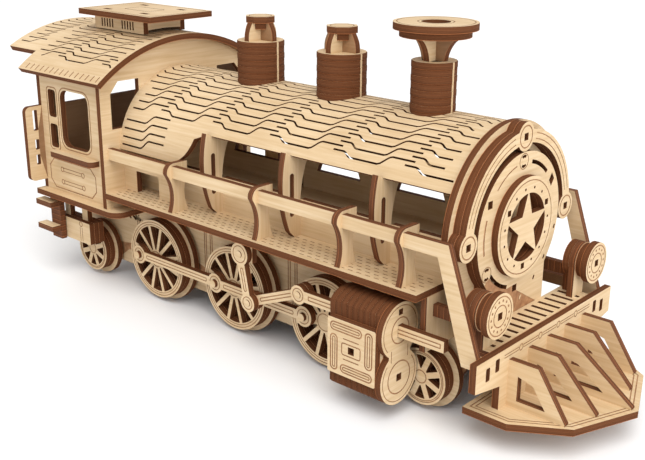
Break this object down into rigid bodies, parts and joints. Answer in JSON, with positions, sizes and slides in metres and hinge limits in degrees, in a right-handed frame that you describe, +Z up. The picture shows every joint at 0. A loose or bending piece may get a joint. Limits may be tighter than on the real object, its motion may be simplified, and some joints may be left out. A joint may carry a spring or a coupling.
{
  "type": "wooden 3d jigsaw model",
  "caption": "Steam locomotive model built from laser-cut plywood pieces, with turning wheels, coupling rods and a swinging valve gear.",
  "frame": {"origin": "on the ground under the middle of the model", "axes": "+X towards the pilot at the front, +Y towards the left side, +Z up"},
  "size_m": [0.362, 0.1176, 0.1573],
  "materials": {
    "plywood": "raw birch plywood with burnt laser-cut edges",
    "dowel": "raw round dowel"
  },
  "bodies": {
    "locomotive": {"deck": "plywood", "cab_floor": "plywood", "cab_front_wall": "plywood", "cab_rear_wall": "plywood", "cab_side_walls": "plywood", "cab_window_sills": "plywood", "cab_roof": "plywood", "roof_vent_box": "plywood", "roof_vent_lid": "plywood", "boiler_shell": "plywood", "boiler_ribs": "plywood", "boiler_side_boards": "plywood", "smokebox_back_plate": "plywood", "smokebox_arch": "plywood", "smokebox_front_plate": "plywood", "smokebox_door": "plywood", "dome_rings": "plywood", "dome_caps": "plywood", "chimney_rings": "plywood", "chimney_flare": "plywood", "chimney_crown": "plywood", "handrail_posts": "plywood", "handrails": "plywood", "front_braces": "plywood", "frame_side_plates": "plywood", "frame_cross_plates": "plywood", "cylinder_blocks": "plywood", "cylinder_end_plates": "plywood", "cylinder_covers": "plywood", "pilot_beam": "plywood", "pilot_base": "plywood", "pilot_blades": "plywood", "front_platform": "plywood", "lamp_posts": "plywood", "lamps": "plywood", "tool_boxes": "plywood", "cab_steps": "plywood", "lever_hangers": "plywood"},
    "rear_driving_wheelset": {"rear_driving_wheels": "plywood", "rear_driving_axle": "dowel", "rear_crank_pins": "dowel"},
    "middle_driving_wheelset": {"middle_driving_wheels": "plywood", "middle_driving_axle": "dowel", "middle_crank_pins": "dowel"},
    "front_driving_wheelset": {"front_driving_wheels": "plywood", "front_driving_axle": "dowel", "front_crank_pins": "dowel"},
    "leading_wheelset": {"leading_wheels": "plywood", "leading_axle": "dowel"},
    "trailing_wheelset": {"trailing_wheels": "plywood", "trailing_axle": "dowel"},
    "right_rod": {"right_coupling_rod": "plywood"},
    "right_lever": {"right_valve_lever": "plywood"},
    "right_link": {"right_valve_link": "plywood"},
    "right_piston": {"right_piston_rod": "plywood"},
    "left_rod": {"left_coupling_rod": "plywood"},
    "left_lever": {"left_valve_lever": "plywood"},
    "left_link": {"left_valve_link": "plywood"},
    "left_piston": {"left_piston_rod": "plywood"}
  },
  "joints": [
    {"name": "middle_driver_spin", "type": "hinge", "parent": "locomotive", "child": "middle_driving_wheelset", "pos_m": [-0.0136, 0, 0.0235], "axis": [0, 1, 0], "continuous": true},
    {"name": "rear_driver_spin", "type": "hinge", "parent": "locomotive", "child": "rear_driving_wheelset", "pos_m": [-0.0732, 0, 0.0235], "axis": [0, 1, 0], "continuous": true},
    {"name": "front_driver_spin", "type": "hinge", "parent": "locomotive", "child": "front_driving_wheelset", "pos_m": [0.046, 0, 0.0235], "axis": [0, 1, 0], "continuous": true},
    {"name": "leading_wheel_spin", "type": "hinge", "parent": "locomotive", "child": "leading_wheelset", "pos_m": [0.1002, 0, 0.0155], "axis": [0, 1, 0], "continuous": true},
    {"name": "trailing_wheel_spin", "type": "hinge", "parent": "locomotive", "child": "trailing_wheelset", "pos_m": [-0.1303, 0, 0.0155], "axis": [0, 1, 0], "continuous": true},
    {"name": "right_rod_pivot", "type": "hinge", "parent": "middle_driving_wheelset", "child": "right_rod", "pos_m": [-0.02355, -0.036, 0.02455], "axis": [0, 1, 0], "continuous": true},
    {"name": "right_lever_swing", "type": "hinge", "parent": "locomotive", "child": "right_lever", "pos_m": [0.0059, -0.0452, 0.0501], "axis": [0, 1, 0], "range_deg": [-12, 12]},
    {"name": "right_link_pivot", "type": "hinge", "parent": "right_lever", "child": "right_link", "pos_m": [0.0108, -0.0451, 0.0272], "axis": [0, 1, 0], "range_deg": [-14, 14]},
    {"name": "right_piston_slide", "type": "slide", "parent": "locomotive", "child": "right_piston", "axis": [1, 0, 0], "range_m": [-0.0053, 0.0053]},
    {"name": "left_rod_pivot", "type": "hinge", "parent": "middle_driving_wheelset", "child": "left_rod", "pos_m": [-0.02355, 0.036, 0.02455], "axis": [0, 1, 0], "continuous": true},
    {"name": "left_lever_swing", "type": "hinge", "parent": "locomotive", "child": "left_lever", "pos_m": [0.0059, 0.0452, 0.0501], "axis": [0, 1, 0], "range_deg": [-12, 12]},
    {"name": "left_link_pivot", "type": "hinge", "parent": "left_lever", "child": "left_link", "pos_m": [0.0108, 0.0451, 0.0272], "axis": [0, 1, 0], "range_deg": [-14, 14]},
    {"name": "left_piston_slide", "type": "slide", "parent": "locomotive", "child": "left_piston", "axis": [1, 0, 0], "range_m": [-0.0053, 0.0053]}
  ],
  "couplings": [
    {"joint": "rear_driver_spin", "follows": "middle_driver_spin", "ratio": 1},
    {"joint": "front_driver_spin", "follows": "middle_driver_spin", "ratio": 1},
    {"joint": "right_rod_pivot", "follows": "middle_driver_spin", "ratio": -1},
    {"joint": "right_link_pivot", "follows": "right_lever_swing", "ratio": -1.1526},
    {"joint": "right_piston_slide", "follows": "right_lever_swing", "m_per_rad": -0.02493},
    {"joint": "left_rod_pivot", "follows": "middle_driver_spin", "ratio": -1},
    {"joint": "left_link_pivot", "follows": "left_lever_swing", "ratio": -1.1526},
    {"joint": "left_piston_slide", "follows": "left_lever_swing", "m_per_rad": -0.02493}
  ]
}
